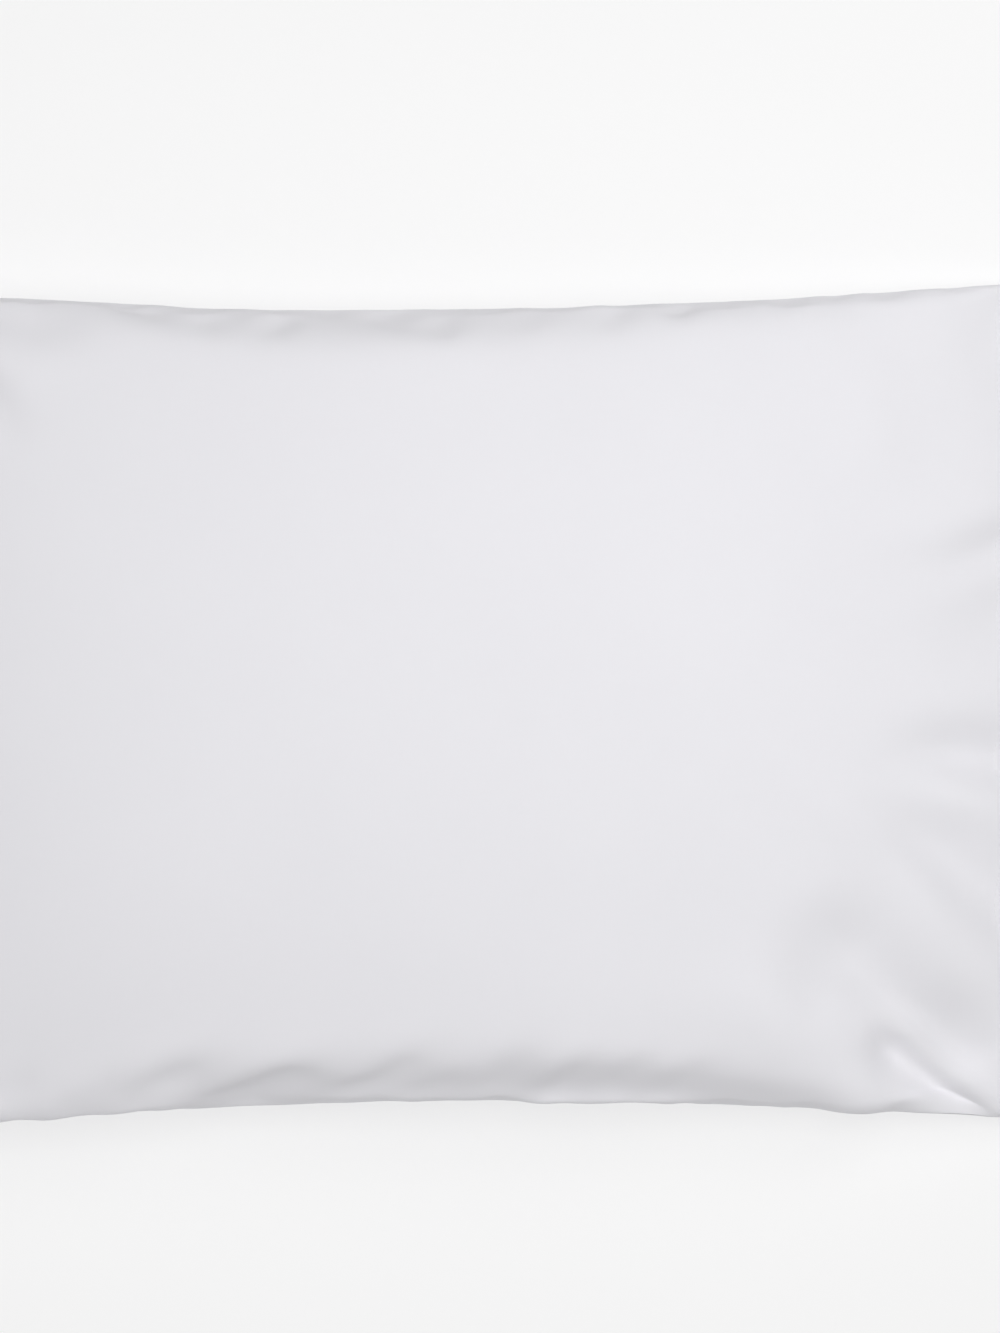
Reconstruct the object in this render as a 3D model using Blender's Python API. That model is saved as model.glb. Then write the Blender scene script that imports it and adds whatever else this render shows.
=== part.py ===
"""A plain white pillowcase with a pillow in it, lying on its back.

The case is one length of cotton: folded at the closed end (-X), hemmed at the
open end (+X), where its other end is folded in over the pillow as a flap, and
sewn down its long sides. It is modelled as one filled solid from three sheets
that meet edge to edge: the upper face, the under face, and the mouth.

Metres, +Z up. The origin is the middle of the underside, +X runs towards the
open end, and the face that shows looks up.

Places on the case are given as two shares: along runs from -1 at the closed
end to 1 at the open end, and across from -1 to 1 between the long sides.
"""

import math
from collections import namedtuple

import bmesh
import bpy

# ---- Driving sizes ---------------------------------------------------------
# The flat case is 0.75 x 0.50. Filling it draws its sides in.
CORNER_LENGTH = 0.736  # over the corners, along X
CORNER_WIDTH = 0.495  # over the corners, along Y
END_DRAW_IN = 0.007  # how far the middle of each end lies inside its corners
SIDE_DRAW_IN = 0.018  # how far the middle of each side lies inside its corners

RISE = 0.080  # the upper face's crown above the seam line
DROP = 0.074  # how far the under face would hang below the seam line
SEAM_HEIGHT = 0.056  # the seam line above the surface, at mid length

# The seam line comes down towards the ends, and further at the corners.
CLOSED_END_FALL = 0.012
CLOSED_CORNER_FALL = 0.016
OPEN_END_FALL = 0.034
OPEN_CORNER_FALL = 0.006

# A filled section is (1 - share ** fullness) ** roundness: flat in the middle,
# steep at the seam. The closed end is blunter than the long sides.
SIDE_FULLNESS = 2.2
SIDE_ROUNDNESS = 0.75
CLOSED_END_FULLNESS = 2.8
CLOSED_END_ROUNDNESS = 0.68
OPEN_END_FULLNESS = 2.6
OPEN_END_ROUNDNESS = 1.15

# The open end: the upper cloth's hem lies loosely over the flap, which is the
# under cloth folded in over the pillow.
MOUTH_LIFT = 0.17  # the crown that is left at the mouth, as a share of the rise
MOUTH_DEPTH = 0.045  # from the hem's edge to where the flap meets the hem's inner side
MOUTH_HALF_SHARE = 0.93  # the mouth's half width, as a share of the end's half width
HEM_THICKNESS = 0.0026
HEM_MOST_SHARE = 0.4  # near the corners the hem takes no more of the end's height than this
FLOOR_SOFTNESS = 0.004  # how gently the under face leaves the surface

# ---- Mesh density: a run of even cells between two shares -------------------
Cells = namedtuple("Cells", "start end count")
LENGTH_CELLS = (
    Cells(-1.00, -0.95, 4),
    Cells(-0.95, -0.60, 9),
    Cells(-0.60, 0.42, 15),
    Cells(0.42, 0.94, 24),
    Cells(0.94, 1.00, 4),
)
WIDTH_CELLS = (
    Cells(-1.00, -0.94, 4),
    Cells(-0.94, -0.20, 16),
    Cells(-0.20, 0.40, 8),
    Cells(0.40, 0.94, 9),
    Cells(0.94, 1.00, 4),
)
WELD = 1e-5

# ---- Folds of the upper face -----------------------------------------------
# Each is a soft trough from its deep end to the place where it fades out.
# A negative depth is a ridge.
Fold = namedtuple("Fold", "name deep_x deep_y fade_x fade_y depth half_width")
FOLDS = (
    Fold("corner valley", 0.338, -0.237, 0.226, -0.164, 0.0085, 0.011),
    Fold("corner valley's far end", 0.248, -0.184, 0.182, -0.112, 0.0040, 0.010),
    Fold("broad hollow", 0.352, -0.186, 0.206, -0.068, 0.0075, 0.020),
    Fold("upper hollow", 0.366, -0.112, 0.238, -0.044, 0.0070, 0.013),
    Fold("level fold", 0.366, -0.026, 0.248, -0.012, 0.0065, 0.012),
    Fold("high level fold", 0.366, 0.112, 0.246, 0.076, 0.0050, 0.013),
    Fold("upper corner slope", 0.336, 0.216, 0.262, 0.100, 0.0050, 0.028),
    Fold("crest to the middle", 0.290, -0.102, 0.150, 0.046, -0.0035, 0.014),
    Fold("closed end, upper fold", -0.318, 0.232, -0.226, 0.148, 0.0055, 0.011),
    Fold("closed end, level fold", -0.352, 0.040, -0.256, 0.030, 0.0040, 0.014),
    Fold("closed end, lower fold", -0.324, -0.228, -0.220, -0.134, 0.0055, 0.012),
)
SHOULDER = 0.35  # the ridge beside a trough, as a share of its depth
SHOULDER_SPREAD = 2.0  # how many half widths the shoulder lies from the trough
SIDE_HOLD = 14  # how closely the seam holds the cloth: higher lets folds reach nearer


def filled(share, fullness, roundness):
    """The height of a filled section: 1 in the middle, 0 at the seam."""
    return max(0.0, 1.0 - abs(share) ** fullness) ** roundness


def crown(along, across):
    """The crown from 0 at the seams to 1 in the middle. Some is left at the open end."""
    if along <= 0:
        lengthwise = filled(along, CLOSED_END_FULLNESS, CLOSED_END_ROUNDNESS)
    else:
        lengthwise = filled(along, OPEN_END_FULLNESS, OPEN_END_ROUNDNESS)
        lengthwise = MOUTH_LIFT + (1 - MOUTH_LIFT) * lengthwise
    return lengthwise * filled(across, SIDE_FULLNESS, SIDE_ROUNDNESS)


def plan(along, across):
    """The place in plan of a point of the cloth."""
    half_length = CORNER_LENGTH / 2 - END_DRAW_IN * (1 - across**2)
    half_width = CORNER_WIDTH / 2 - SIDE_DRAW_IN * (1 - along**2)
    return along * half_length, across * half_width


def seam_height(along, across):
    """The height of the sheet that the seam line would span."""
    if along > 0:
        end_fall, corner_fall = OPEN_END_FALL, OPEN_CORNER_FALL
    else:
        end_fall, corner_fall = CLOSED_END_FALL, CLOSED_CORNER_FALL
    at_end = end_fall * abs(along) ** 3
    at_corner = corner_fall * abs(along * across) ** 4
    return SEAM_HEIGHT - at_end - at_corner


def settled(height):
    """A height once the cloth rests: what would hang below the surface lies flat on it."""
    if height <= 0:
        return 0.0
    return height**2 / (height + FLOOR_SOFTNESS)


def fold_depth(fold, x, y):
    """How far one fold lowers the cloth at a point in plan."""
    run_x, run_y = fold.fade_x - fold.deep_x, fold.fade_y - fold.deep_y
    run = math.hypot(run_x, run_y)
    share = ((x - fold.deep_x) * run_x + (y - fold.deep_y) * run_y) / run**2
    if share >= 1:
        return 0.0
    side = abs((x - fold.deep_x) * run_y - (y - fold.deep_y) * run_x) / run
    fading = 0.5 + 0.5 * math.cos(math.pi * max(0.0, share))
    spread = side / (fold.half_width * (0.7 + 0.6 * max(0.0, share)))
    trough = math.exp(-(spread**2))
    shoulder = SHOULDER * math.exp(-((spread - SHOULDER_SPREAD) ** 2))
    return fold.depth * fading * (trough - shoulder)


def lowered(rise, depth):
    """A rise less a fold's depth. A deep fold flattens the rise and never turns it over."""
    if depth <= 0:
        return rise - depth
    return rise**2 / (rise + depth) if rise > 0 else 0.0


def upper_height(along, across):
    """The height of the upper face."""
    x, y = plan(along, across)
    hold = 1 - abs(across) ** SIDE_HOLD
    if along < 0:
        hold *= 1 - abs(along) ** SIDE_HOLD
    depth = hold * sum(fold_depth(fold, x, y) for fold in FOLDS)
    return settled(seam_height(along, across)) + lowered(RISE * crown(along, across), depth)


def under_height(along, across):
    """The height of the under face, which lies flat where it rests."""
    return settled(seam_height(along, across) - DROP * crown(along, across))


def stations(runs):
    """The shares at which the runs' cells begin and end."""
    places = [runs[0].start]
    for run in runs:
        step = (run.end - run.start) / run.count
        places += [run.start + step * (i + 1) for i in range(run.count)]
    return places


ALONG = stations(LENGTH_CELLS)
ACROSS = stations(WIDTH_CELLS)


def sheet(name, columns, rows, place):
    """A grid of points, each put where place(column, row) says."""
    shape = bmesh.new()
    bmesh.ops.create_grid(shape, x_segments=columns - 1, y_segments=rows - 1, size=0.5)
    for point in shape.verts:
        column = round((point.co.x + 0.5) * (columns - 1))
        row = round((point.co.y + 0.5) * (rows - 1))
        point.co = place(column, row)
    mesh = bpy.data.meshes.new(name)
    shape.to_mesh(mesh)
    shape.free()
    return mesh


def upper_face(column, row):
    """A point of the upper face."""
    along, across = ALONG[column], ACROSS[row]
    return (*plan(along, across), upper_height(along, across))


def under_face(column, row):
    """A point of the under face."""
    along, across = ALONG[column], ACROSS[row]
    return (*plan(along, across), under_height(along, across))


# The mouth's section at one place across the end, from the upper face's edge
# round the hem, in under it, and back out along the flap to the under face's
# edge, where the flap is folded in. inset is a share of the depth, level is a
# share of the gap, and proud is how many hem thicknesses the point stands
# above that gap.
Section = namedtuple("Section", "inset level proud")
MOUTH = (
    Section(0.00, 1.00, 1),
    Section(0.00, 1.00, 0),
    Section(0.35, 1.00, 0),
    Section(0.70, 1.00, 0),
    Section(1.00, 0.98, 0),
    Section(0.88, 0.86, 0),
    Section(0.66, 0.70, 0),
    Section(0.42, 0.50, 0),
    Section(0.22, 0.30, 0),
    Section(0.08, 0.12, 0),
    Section(0.00, 0.00, 0),
)


def mouth_face(column, row):
    """A point of the mouth: the column picks the section's point, the row the place across."""
    section, across = MOUTH[column], ACROSS[row]
    closing = max(0.0, 1 - (abs(across) / MOUTH_HALF_SHARE) ** 6)
    along = 1 - section.inset * closing * MOUTH_DEPTH / (CORNER_LENGTH / 2)
    low, high = under_height(along, across), upper_height(along, across)
    hem = min(HEM_THICKNESS, (high - low) * HEM_MOST_SHARE)
    gap = high - low - hem
    return (*plan(along, across), low + gap * section.level + hem * section.proud)


def one_solid(name, meshes):
    """Joins sheets that meet along their edges into one closed object that faces out."""
    shape = bmesh.new()
    for mesh in meshes:
        shape.from_mesh(mesh)
        bpy.data.meshes.remove(mesh)
    bmesh.ops.remove_doubles(shape, verts=shape.verts, dist=WELD)
    bmesh.ops.dissolve_degenerate(shape, edges=shape.edges, dist=WELD)
    bmesh.ops.recalc_face_normals(shape, faces=shape.faces)
    if shape.calc_volume(signed=True) < 0:
        bmesh.ops.reverse_faces(shape, faces=shape.faces)
    mesh = bpy.data.meshes.new(name)
    shape.to_mesh(mesh)
    shape.free()
    mesh.shade_smooth()
    mesh.set_sharp_from_angle(angle=math.radians(60))
    return bpy.data.objects.new(name, mesh)


def white_cotton():
    """Plain white bedding cotton: matt, slightly cool."""
    material = bpy.data.materials.new("white cotton")
    material.use_nodes = True
    surface = material.node_tree.nodes["Principled BSDF"]
    surface.inputs["Base Color"].default_value = (0.83, 0.83, 0.86, 1.0)
    surface.inputs["Roughness"].default_value = 0.9
    surface.inputs["Metallic"].default_value = 0.0
    return material


def pillowcase():
    """The case as one filled solid."""
    sheets = (
        sheet("upper face", len(ALONG), len(ACROSS), upper_face),
        sheet("under face", len(ALONG), len(ACROSS), under_face),
        sheet("mouth", len(MOUTH), len(ACROSS), mouth_face),
    )
    case = one_solid("pillowcase", sheets)
    case.data.materials.append(white_cotton())
    return case


def main():
    for old in list(bpy.data.objects):
        bpy.data.objects.remove(old)
    collection = bpy.data.collections.new("filled pillowcase")
    bpy.context.scene.collection.children.link(collection)
    collection.objects.link(pillowcase())


main()
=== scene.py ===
"""A plain white pillowcase with a pillow in it, lying on its back on a pale floor.

The case is one length of cotton: folded at the closed end (-X), sewn down its
long sides, hemmed at the open end (+X), and folded in there as a flap over the
pillow. A cloth simulation blows the flat cut up to the size of the solid in the
frame. The main creases are then laid in, and the hem is stitched.

Places on the case are given as two shares: along runs from -1 at the closed end
to 1 at the open end, and across from -1 to 1 between the long sides.
"""

import itertools
import logging
import math
import random
from dataclasses import dataclass, replace
from enum import Enum
from typing import NamedTuple

import bmesh
import bpy
import numpy as np
from bmesh.types import BMesh
from bpy.types import ID, Material, Mesh, Node, NodeSocket, NodeTree, Object, ShapeKey
from mathutils import Matrix, Vector
from mathutils.bvhtree import BVHTree


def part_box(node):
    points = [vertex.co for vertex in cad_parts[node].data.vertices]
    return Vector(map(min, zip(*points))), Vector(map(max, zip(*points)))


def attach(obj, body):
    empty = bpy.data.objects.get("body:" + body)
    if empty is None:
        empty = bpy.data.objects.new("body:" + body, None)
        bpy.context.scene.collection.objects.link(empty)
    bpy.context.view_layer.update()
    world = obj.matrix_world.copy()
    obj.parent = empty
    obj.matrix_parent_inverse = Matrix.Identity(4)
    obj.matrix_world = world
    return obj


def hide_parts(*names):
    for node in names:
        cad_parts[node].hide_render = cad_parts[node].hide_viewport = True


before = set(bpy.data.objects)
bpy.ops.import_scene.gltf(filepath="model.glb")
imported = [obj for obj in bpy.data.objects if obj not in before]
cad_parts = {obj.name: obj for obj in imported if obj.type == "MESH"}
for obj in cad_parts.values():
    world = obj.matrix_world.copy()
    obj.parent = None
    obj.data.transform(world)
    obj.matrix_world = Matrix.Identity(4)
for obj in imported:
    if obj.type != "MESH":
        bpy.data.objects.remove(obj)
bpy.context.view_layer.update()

LOG = logging.getLogger("pillowcase")
BODY = "root"
NODE = "pillowcase"

CUT_LENGTH = 0.75
CUT_WIDTH = 0.50
HEM_WIDTH = 0.036
SHORTEST_NORMAL = 1e-12

Array = np.ndarray
Pair = tuple[float, float]
Triple = tuple[float, float, float]
Path = tuple[Pair, ...]


class Face(Enum):
    """The two faces of the case. The value is the way each one faces along Z."""

    UPPER = 1
    UNDER = -1


# Runs of even cells from -1 on: where each run ends, and how many cells it has.
LENGTH_CELLS = ((-0.93, 9), (-0.60, 20), (0.35, 38), (0.88, 36), (0.93, 8), (1.00, 11))
WIDTH_CELLS = ((-0.93, 9), (-0.50, 20), (0.50, 26), (0.93, 20), (1.00, 9))


def stations(runs: tuple[tuple[float, int], ...]) -> Array:
    """Lists the shares at which cells begin and end.

    Args:
        runs: The runs of cells.

    Returns:
        The shares in rising order.
    """
    places = [-1.0]
    for end, count in runs:
        places += list(np.linspace(places[-1], end, count + 1)[1:])
    return np.array(places)


def smooth_step(low: float, high: float, value: Array) -> Array:
    """Goes smoothly from 0 at low to 1 at high, whichever of the two is the greater."""
    share = np.clip((value - low) / (high - low), 0.0, 1.0)
    return share * share * (3.0 - 2.0 * share)


def distances(points: Array) -> Array:
    """Gives how far along a line of points each one stands."""
    steps = np.linalg.norm(np.diff(points, axis=0), axis=-1)
    return np.concatenate([[0.0], np.cumsum(steps)])


def read_line(at: float, run: Array, points: Array) -> Array:
    """Reads the place on a line of points where its run has one value."""
    return np.array([np.interp(at, run, points[:, axis]) for axis in range(3)])


def set_all(target: object, **values: object) -> None:
    """Sets several properties of one thing."""
    for name, value in values.items():
        setattr(target, name, value)


def add_object(name: str, data: ID) -> Object:
    """Puts a mesh, a lamp or a camera into the scene.

    Args:
        name: The object's name.
        data: What the object shows.

    Returns:
        The object.
    """
    added = bpy.data.objects.new(name, data)
    bpy.context.scene.collection.objects.link(added)
    return added


def add_shape(name: str, shape: BMesh) -> Object:
    """Turns a finished shape into a smooth object, and frees it.

    Args:
        name: The object's name.
        shape: The shape.

    Returns:
        The object.
    """
    mesh = bpy.data.meshes.new(name)
    shape.to_mesh(mesh)
    shape.free()
    mesh.polygons.foreach_set("use_smooth", [True] * len(mesh.polygons))
    return add_object(name, mesh)


def add_grid(
    shape: BMesh, points: Array, places: Array, turned: bool, wrapped: bool = False
) -> None:
    """Adds a grid of quads.

    Args:
        shape: The mesh in the making, with its UV layer.
        points: The grid's points.
        places: The UV places of its corners.
        turned: Whether the quads face the other way.
        wrapped: Whether the last column joins the first.
    """
    layer = shape.loops.layers.uv.active
    verts = [[shape.verts.new(point) for point in row] for row in points.tolist()]
    if wrapped:
        verts = [row + row[:1] for row in verts]
    order = ((0, 0), (0, 1), (1, 1), (1, 0)) if turned else ((0, 0), (1, 0), (1, 1), (0, 1))
    for i, j in itertools.product(range(len(verts) - 1), range(len(verts[0]) - 1)):
        corners = [(i + di, j + dj) for di, dj in order]
        quad = shape.faces.new([verts[a][b] for a, b in corners])
        for loop, corner in zip(quad.loops, corners):
            loop[layer].uv = places[corner]


# ---- The filled form ----


@dataclass(frozen=True)
class CaseForm:
    """The case's filled form, with the sizes of the solid in the frame.

    A filled section is (1 - share ** fullness) ** roundness: flat in the middle and
    steep at the seam. Each of the three sections holds its fullness and roundness.
    """

    length: float
    width: float
    height: float
    end_draw_in: float = 0.007
    side_draw_in: float = 0.018
    closed_section: Pair = (2.8, 0.68)
    open_section: Pair = (2.6, 1.15)
    cross_section: Pair = (2.2, 0.75)
    seam_height: float = 0.056
    closed_end_fall: float = 0.012
    closed_corner_fall: float = 0.016
    open_end_fall: float = 0.034
    open_corner_fall: float = 0.006
    end_power: int = 3
    corner_power: int = 4
    drop: float = 0.074
    mouth_lift: float = 0.17
    floor_softness: float = 0.004

    @classmethod
    def of_node(cls, node: str) -> "CaseForm":
        """Takes the form's outer sizes from a node of the frame."""
        low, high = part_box(node)
        return cls(high[0] - low[0], high[1] - low[1], high[2] - low[2])

    @property
    def rise(self) -> float:
        """The upper face's crown above the seam line."""
        return self.height - float(self.settled(np.array(self.seam_height)))

    def settled(self, height: Array) -> Array:
        """Lays what would hang below the floor flat on it."""
        above = np.maximum(height, 0.0)
        return above**2 / (above + self.floor_softness)

    def filled(self, share: Array, section: Pair) -> Array:
        """Gives the height of a filled section, 1 in the middle and 0 at the seam."""
        fullness, roundness = section
        return np.maximum(0.0, 1.0 - np.abs(share) ** fullness) ** roundness

    def crown(self, along: Array, across: Array) -> Array:
        """Gives the crown from 0 at the seams to 1 in the middle.

        Args:
            along: Shares of the length.
            across: Shares of the width.

        Returns:
            The crown. Some is left at the open end.
        """
        closed = self.filled(along, self.closed_section)
        opened = self.mouth_lift + (1 - self.mouth_lift) * self.filled(along, self.open_section)
        return np.where(along <= 0, closed, opened) * self.filled(across, self.cross_section)

    def plan(self, along: Array, across: Array) -> tuple[Array, Array]:
        """Gives the X and Y of places on the case."""
        half_length = self.length / 2 - self.end_draw_in * (1 - across**2)
        half_width = self.width / 2 - self.side_draw_in * (1 - along**2)
        return along * half_length, across * half_width

    def seam(self, along: Array, across: Array) -> Array:
        """Gives the height of the sheet that the seam line would span.

        Args:
            along: Shares of the length.
            across: Shares of the width.

        Returns:
            The heights.
        """
        end_fall = np.where(along > 0, self.open_end_fall, self.closed_end_fall)
        corner_fall = np.where(along > 0, self.open_corner_fall, self.closed_corner_fall)
        at_end = end_fall * np.abs(along) ** self.end_power
        return self.seam_height - at_end - corner_fall * np.abs(along * across) ** self.corner_power

    def faces(self, along: Array, across: Array, fill: float = 1.0) -> "ClothFaces":
        """Gives the two faces.

        Args:
            along: Shares of the length.
            across: Shares of the width.
            fill: How much of the crown is there yet.

        Returns:
            The case's faces.
        """
        x, y = self.plan(along, across)
        crown = fill * self.crown(along, across)
        seam = self.seam(along, across)
        upper = self.settled(seam) + self.rise * crown
        under = self.settled(seam - self.drop * crown)
        return ClothFaces(along, across, np.stack([x, y, upper], -1), np.stack([x, y, under], -1))


@dataclass
class ClothFaces:
    """The upper and the under face as two grids of points that share their seams."""

    along: Array
    across: Array
    upper: Array
    under: Array

    @property
    def shared(self) -> Array:
        """Marks the points that both faces share: the long sides and the closed end."""
        marks = np.zeros(self.along.shape, bool)
        marks[0, :] = marks[:, 0] = marks[:, -1] = True
        return marks

    def indices(self) -> tuple[Array, Array]:
        """Numbers the points of the two faces, shared points once.

        Returns:
            The upper face's and the under face's numbers.
        """
        upper = np.arange(self.along.size).reshape(self.along.shape)
        under = upper.copy()
        own = ~self.shared
        under[own] = self.along.size + np.arange(own.sum())
        return upper, under

    def listed(self) -> Array:
        """Lists the points, or the values if the grids hold those, by their numbers."""
        upper = self.upper.reshape(-1, *self.upper.shape[2:])
        return np.concatenate([upper, self.under[~self.shared]])

    def quads(self) -> Array:
        """Lists the faces as rows of four numbers, all facing out."""
        upper, under = self.indices()
        rows = []
        for grid, order in ((upper, (0, 1, 2, 3)), (under, (0, 3, 2, 1))):
            corners = (grid[:-1, :-1], grid[1:, :-1], grid[1:, 1:], grid[:-1, 1:])
            rows.append(np.stack([corners[k].reshape(-1) for k in order], axis=-1))
        return np.concatenate(rows)

    def moved_to(self, points: Array) -> "ClothFaces":
        """Puts the points elsewhere, in the order of their numbers."""
        upper, under = self.indices()
        return replace(self, upper=points[upper], under=points[under])

    def held(self, power: int) -> Array:
        """Gives 1 over the face and 0 at its long sides. A high power falls late."""
        return 1 - np.abs(self.across) ** power


def grid_normals(grid: Array) -> Array:
    """Gives each point's unit normal, towards +Z where the grid lies level."""
    normals = np.cross(np.gradient(grid, axis=0), np.gradient(grid, axis=1))
    lengths = np.linalg.norm(normals, axis=-1, keepdims=True)
    return normals / np.maximum(lengths, SHORTEST_NORMAL)


# ---- Creases ----


class Crease(NamedTuple):
    """A soft trough along a path, in metres. A negative depth makes a ridge.

    The widths are half the trough's width at the path's two ends. The fades are the
    shares of the path over which it deepens and dies away. Lean, from -1 to 1, makes
    the flank on the path's left (above 0) or right (below 0) the broader one.
    """

    name: str
    path: Path
    depth: float
    widths: Pair
    fades: Pair = (0.0, 1.0)
    lean: float = 0.0


CREASE_ROWS = (
    ("corner valley",
     ((0.340, -0.256), (0.318, -0.245), (0.286, -0.223), (0.262, -0.201), (0.247, -0.187)),
     0.0122, (0.0126, 0.0128), (0.36, 0.28), 0.34),
    ("corner valley's far end",
     ((0.232, -0.186), (0.221, -0.174), (0.205, -0.155), (0.192, -0.135)),
     0.0030, (0.011, 0.0105), (0.3, 0.6), 0.15),
    ("broad hollow",
     ((0.345, -0.224), (0.318, -0.212), (0.290, -0.195), (0.261, -0.171), (0.235, -0.140),
      (0.212, -0.102)),
     0.0120, (0.029, 0.032), (0.3, 0.3)),
    ("second fold in the hollow",
     ((0.314, -0.222), (0.301, -0.200), (0.291, -0.176), (0.286, -0.158)),
     0.0022, (0.024, 0.024), (0.2, 0.5), -0.35),
    ("upper hollow",
     ((0.372, -0.165), (0.340, -0.131), (0.306, -0.0995), (0.278, -0.079), (0.250, -0.063),
      (0.234, -0.056)),
     0.0112, (0.0225, 0.018), (0.0, 0.5), 0.12),
    ("level fold",
     ((0.372, -0.044), (0.330, -0.035), (0.296, -0.031), (0.268, -0.029), (0.244, -0.027)),
     0.0095, (0.015, 0.013), (0.0, 0.5), -0.12),
    ("high level fold",
     ((0.372, 0.103), (0.326, 0.0885), (0.286, 0.078), (0.222, 0.0785)),
     0.0060, (0.009, 0.012), (0.0, 0.75), -0.1),
    ("upper end hollow",
     ((0.350, 0.225), (0.335, 0.180), (0.330, 0.140)),
     0.0060, (0.034, 0.034), (0.0, 0.8)),
    ("middle end hollow",
     ((0.350, 0.070), (0.310, 0.045), (0.275, 0.030)),
     0.0045, (0.026, 0.028), (0.0, 0.8)),
    ("bend to the upper corner",
     ((0.232, 0.226), (0.245, 0.185), (0.250, 0.140), (0.242, 0.105)),
     -0.0026, (0.018, 0.018), (0.3, 0.4)),
    ("crest to the middle",
     ((0.318, -0.150), (0.281, -0.108), (0.243, -0.073), (0.215, -0.048), (0.165, 0.005)),
     -0.0026, (0.012, 0.015), (0.35, 0.6)),
    ("crest along the valley",
     ((0.292, -0.205), (0.258, -0.177), (0.236, -0.153), (0.194, -0.106)),
     -0.0022, (0.007, 0.009), (0.3, 0.6)),
    ("closed end, upper dent",
     ((-0.272, 0.233), (-0.226, 0.222), (-0.186, 0.213)),
     0.0048, (0.015, 0.011), (0.2, 0.5)),
    ("closed end, upper fold",
     ((-0.300, 0.222), (-0.262, 0.187), (-0.224, 0.146)),
     0.0050, (0.0095, 0.0105), (0.2, 0.6)),
    ("closed end, level fold",
     ((-0.352, 0.040), (-0.300, 0.036), (-0.262, 0.030)),
     0.0040, (0.011, 0.014)),
    ("closed end, lower fold",
     ((-0.324, -0.228), (-0.290, -0.200), (-0.262, -0.172)),
     0.0050, (0.009, 0.012)),
)
CREASES = tuple(Crease(*row) for row in CREASE_ROWS)

# Rows of a path, a depth, two widths and a lean.
LOWER_PUCKERS = (
    (((-0.256, -0.230), (-0.246, -0.219), (-0.226, -0.204)), 0.0020, (0.0084, 0.0112), -0.3),
    (((-0.224, -0.233), (-0.196, -0.221), (-0.178, -0.196)), 0.0021, (0.0098, 0.0126), -0.3),
    (((-0.185, -0.231), (-0.165, -0.218), (-0.144, -0.206), (-0.114, -0.194)),
     0.0030, (0.0098, 0.014), -0.3),
    (((-0.142, -0.230), (-0.107, -0.220), (-0.081, -0.210), (-0.050, -0.200)),
     0.0029, (0.0084, 0.0126), -0.35),
    (((-0.066, -0.224), (-0.035, -0.216), (-0.014, -0.202), (0.010, -0.192)),
     0.0029, (0.0084, 0.0126), -0.35),
    (((-0.022, -0.226), (0.002, -0.2165), (0.030, -0.207)), 0.0021, (0.007, 0.0098), -0.3),
    (((0.024, -0.228), (0.038, -0.213), (0.066, -0.193)), 0.0026, (0.0098, 0.014), -0.2),
    (((0.058, -0.227), (0.077, -0.211), (0.106, -0.1965)), 0.0030, (0.0084, 0.0112), -0.35),
    (((0.092, -0.220), (0.112, -0.2085), (0.136, -0.203)), 0.0021, (0.007, 0.0112), -0.3),
    (((0.120, -0.223), (0.146, -0.2125), (0.172, -0.2065)), 0.0017, (0.007, 0.0112), -0.3),
)
UPPER_PUCKERS = (
    (((-0.180, 0.233), (-0.176, 0.224)), 0.0019, (0.0046, 0.0057)),
    (((-0.172, 0.229), (-0.158, 0.2235), (-0.142, 0.215)), 0.0022, (0.0057, 0.0046)),
    (((-0.134, 0.224), (-0.126, 0.215), (-0.120, 0.206)), 0.0021, (0.0046, 0.0069)),
    (((-0.120, 0.226), (-0.108, 0.219)), 0.0019, (0.0069, 0.008)),
    (((-0.078, 0.226), (-0.088, 0.216), (-0.098, 0.205)), 0.0021, (0.0046, 0.0069)),
    (((-0.030, 0.227), (-0.040, 0.221)), 0.0013, (0.0057, 0.0069)),
    (((0.014, 0.227), (0.006, 0.217), (-0.004, 0.206)), 0.0015, (0.0057, 0.0092)),
    (((0.066, 0.229), (0.052, 0.219), (0.040, 0.210)), 0.0015, (0.0057, 0.008)),
    (((0.112, 0.231), (0.104, 0.220), (0.098, 0.208)), 0.0020, (0.0057, 0.008)),
    (((0.156, 0.233), (0.142, 0.227), (0.130, 0.219)), 0.0018, (0.0057, 0.0069)),
)


def puckers(side: str, rows: tuple) -> tuple[Crease, ...]:
    """Makes short slanted creases that start softly at a side and die away inwards."""
    fades = (0.2, 0.55)
    return tuple(Crease(f"{side} side", *row[:3], fades, *row[3:]) for row in rows)


SIDE_PUCKERS = puckers("lower", LOWER_PUCKERS) + puckers("upper", UPPER_PUCKERS)


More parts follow.
